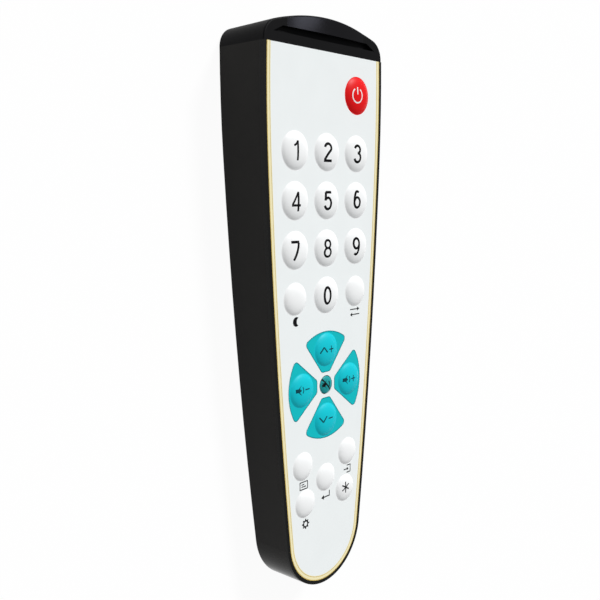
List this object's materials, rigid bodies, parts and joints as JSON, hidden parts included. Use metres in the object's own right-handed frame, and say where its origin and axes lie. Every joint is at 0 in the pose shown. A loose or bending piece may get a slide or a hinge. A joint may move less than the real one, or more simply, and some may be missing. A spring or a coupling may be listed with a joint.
{
  "type": "universal remote control",
  "caption": "Slim tapering handheld infrared remote with a sealed white key face, domed keys, four direction pads, a dark end cap and a battery door on the back.",
  "frame": {"origin": "middle of the bounding box on the flat back face that the remote lies on", "axes": "+Y along the length towards the infrared end cap, +Z out of the key face, +X to the right with the keys upright"},
  "size_m": [0.0682, 0.2234, 0.0244],
  "materials": {
    "housing_black": "fine-textured moulded ABS, matte",
    "cap_dark": "dark infrared-passing plastic, satin",
    "window_gloss": "dark infrared-passing plastic, polished",
    "film_white": "sealed polyester film, satin",
    "border_cream": "printed border under the film, satin",
    "pad_teal": "printed under the film, satin",
    "key_white": "embossed domes of the film, satin",
    "key_teal": "embossed domes of the film, satin",
    "key_slate": "embossed dome of the film, satin",
    "key_red": "embossed dome of the film, satin",
    "mat_silicone": "soft silicone sheet, matte",
    "board_green": "glass-fibre board with solder mask",
    "chip_black": "moulded chip package, matte",
    "crystal_can": "drawn metal can",
    "capacitor_sleeve": "shrink sleeve over an aluminium can",
    "emitter_lens": "tinted clear epoxy lens",
    "contact_nickel": "nickel-plated spring steel",
    "screw_zinc": "zinc-plated steel",
    "cell_jacket": "plain printed jacket on a steel cell"
  },
  "bodies": {
    "housing": {"rear_shell": "housing_black", "front_shell": "housing_black", "end_cap": "cap_dark", "ir_window": "window_gloss", "face_film": "film_white", "edge_border": "border_cream", "nav_pads": "pad_teal", "contact_mat": "mat_silicone", "circuit_board": "board_green", "controller_chip": "chip_black", "crystal": "crystal_can", "capacitor": "capacitor_sleeve", "ir_emitter_left": "emitter_lens", "ir_emitter_right": "emitter_lens", "bridge_contact": "contact_nickel", "positive_contact": "contact_nickel", "negative_contact": "contact_nickel", "housing_screws": "screw_zinc", "battery_left": "cell_jacket", "battery_right": "cell_jacket"},
    "battery_door": {"battery_door": "housing_black"},
    "key_0": {"key_0": "key_white"},
    "key_1": {"key_1": "key_white"},
    "key_2": {"key_2": "key_white"},
    "key_3": {"key_3": "key_white"},
    "key_4": {"key_4": "key_white"},
    "key_5": {"key_5": "key_white"},
    "key_6": {"key_6": "key_white"},
    "key_7": {"key_7": "key_white"},
    "key_8": {"key_8": "key_white"},
    "key_9": {"key_9": "key_white"},
    "key_sleep": {"key_sleep": "key_white"},
    "key_previous": {"key_previous": "key_white"},
    "key_caption": {"key_caption": "key_white"},
    "key_source": {"key_source": "key_white"},
    "key_enter": {"key_enter": "key_white"},
    "key_setup": {"key_setup": "key_white"},
    "key_star": {"key_star": "key_white"},
    "key_channel_up": {"key_channel_up": "key_teal"},
    "key_channel_down": {"key_channel_down": "key_teal"},
    "key_volume_up": {"key_volume_up": "key_teal"},
    "key_volume_down": {"key_volume_down": "key_teal"},
    "key_mute": {"key_mute": "key_slate"},
    "key_power": {"key_power": "key_red"}
  },
  "joints": [
    {"name": "battery_door_hinge", "type": "hinge", "parent": "housing", "child": "battery_door", "pos_m": [0, 0.08965, 0.0012], "axis": [1, 0, 0], "range_deg": [0, 85]},
    {"name": "key_0_press", "type": "slide", "parent": "housing", "child": "key_0", "axis": [0, 0.0268, -0.9996], "range_m": [0, 0.0008], "stiffness_N_per_m": 1000},
    {"name": "key_1_press", "type": "slide", "parent": "housing", "child": "key_1", "axis": [0, 0.0268, -0.9996], "range_m": [0, 0.0008], "stiffness_N_per_m": 1000},
    {"name": "key_2_press", "type": "slide", "parent": "housing", "child": "key_2", "axis": [0, 0.0268, -0.9996], "range_m": [0, 0.0008], "stiffness_N_per_m": 1000},
    {"name": "key_3_press", "type": "slide", "parent": "housing", "child": "key_3", "axis": [0, 0.0268, -0.9996], "range_m": [0, 0.0008], "stiffness_N_per_m": 1000},
    {"name": "key_4_press", "type": "slide", "parent": "housing", "child": "key_4", "axis": [0, 0.0268, -0.9996], "range_m": [0, 0.0008], "stiffness_N_per_m": 1000},
    {"name": "key_5_press", "type": "slide", "parent": "housing", "child": "key_5", "axis": [0, 0.0268, -0.9996], "range_m": [0, 0.0008], "stiffness_N_per_m": 1000},
    {"name": "key_6_press", "type": "slide", "parent": "housing", "child": "key_6", "axis": [0, 0.0268, -0.9996], "range_m": [0, 0.0008], "stiffness_N_per_m": 1000},
    {"name": "key_7_press", "type": "slide", "parent": "housing", "child": "key_7", "axis": [0, 0.0268, -0.9996], "range_m": [0, 0.0008], "stiffness_N_per_m": 1000},
    {"name": "key_8_press", "type": "slide", "parent": "housing", "child": "key_8", "axis": [0, 0.0268, -0.9996], "range_m": [0, 0.0008], "stiffness_N_per_m": 1000},
    {"name": "key_9_press", "type": "slide", "parent": "housing", "child": "key_9", "axis": [0, 0.0268, -0.9996], "range_m": [0, 0.0008], "stiffness_N_per_m": 1000},
    {"name": "key_sleep_press", "type": "slide", "parent": "housing", "child": "key_sleep", "axis": [0, 0.0268, -0.9996], "range_m": [0, 0.0008], "stiffness_N_per_m": 1000},
    {"name": "key_previous_press", "type": "slide", "parent": "housing", "child": "key_previous", "axis": [0, 0.0268, -0.9996], "range_m": [0, 0.0008], "stiffness_N_per_m": 1000},
    {"name": "key_caption_press", "type": "slide", "parent": "housing", "child": "key_caption", "axis": [0, 0.0268, -0.9996], "range_m": [0, 0.0008], "stiffness_N_per_m": 1000},
    {"name": "key_source_press", "type": "slide", "parent": "housing", "child": "key_source", "axis": [0, 0.0268, -0.9996], "range_m": [0, 0.0008], "stiffness_N_per_m": 1000},
    {"name": "key_enter_press", "type": "slide", "parent": "housing", "child": "key_enter", "axis": [0, 0.0268, -0.9996], "range_m": [0, 0.0008], "stiffness_N_per_m": 1000},
    {"name": "key_setup_press", "type": "slide", "parent": "housing", "child": "key_setup", "axis": [0, 0.0268, -0.9996], "range_m": [0, 0.0008], "stiffness_N_per_m": 1000},
    {"name": "key_star_press", "type": "slide", "parent": "housing", "child": "key_star", "axis": [0, 0.0268, -0.9996], "range_m": [0, 0.0008], "stiffness_N_per_m": 1000},
    {"name": "key_channel_up_press", "type": "slide", "parent": "housing", "child": "key_channel_up", "axis": [0, 0.0268, -0.9996], "range_m": [0, 0.0008], "stiffness_N_per_m": 1000},
    {"name": "key_channel_down_press", "type": "slide", "parent": "housing", "child": "key_channel_down", "axis": [0, 0.0268, -0.9996], "range_m": [0, 0.0008], "stiffness_N_per_m": 1000},
    {"name": "key_volume_up_press", "type": "slide", "parent": "housing", "child": "key_volume_up", "axis": [0, 0.0268, -0.9996], "range_m": [0, 0.0008], "stiffness_N_per_m": 1000},
    {"name": "key_volume_down_press", "type": "slide", "parent": "housing", "child": "key_volume_down", "axis": [0, 0.0268, -0.9996], "range_m": [0, 0.0008], "stiffness_N_per_m": 1000},
    {"name": "key_mute_press", "type": "slide", "parent": "housing", "child": "key_mute", "axis": [0, 0.0268, -0.9996], "range_m": [0, 0.0008], "stiffness_N_per_m": 1000},
    {"name": "key_power_press", "type": "slide", "parent": "housing", "child": "key_power", "axis": [0, 0.0268, -0.9996], "range_m": [0, 0.0008], "stiffness_N_per_m": 1000}
  ]
}
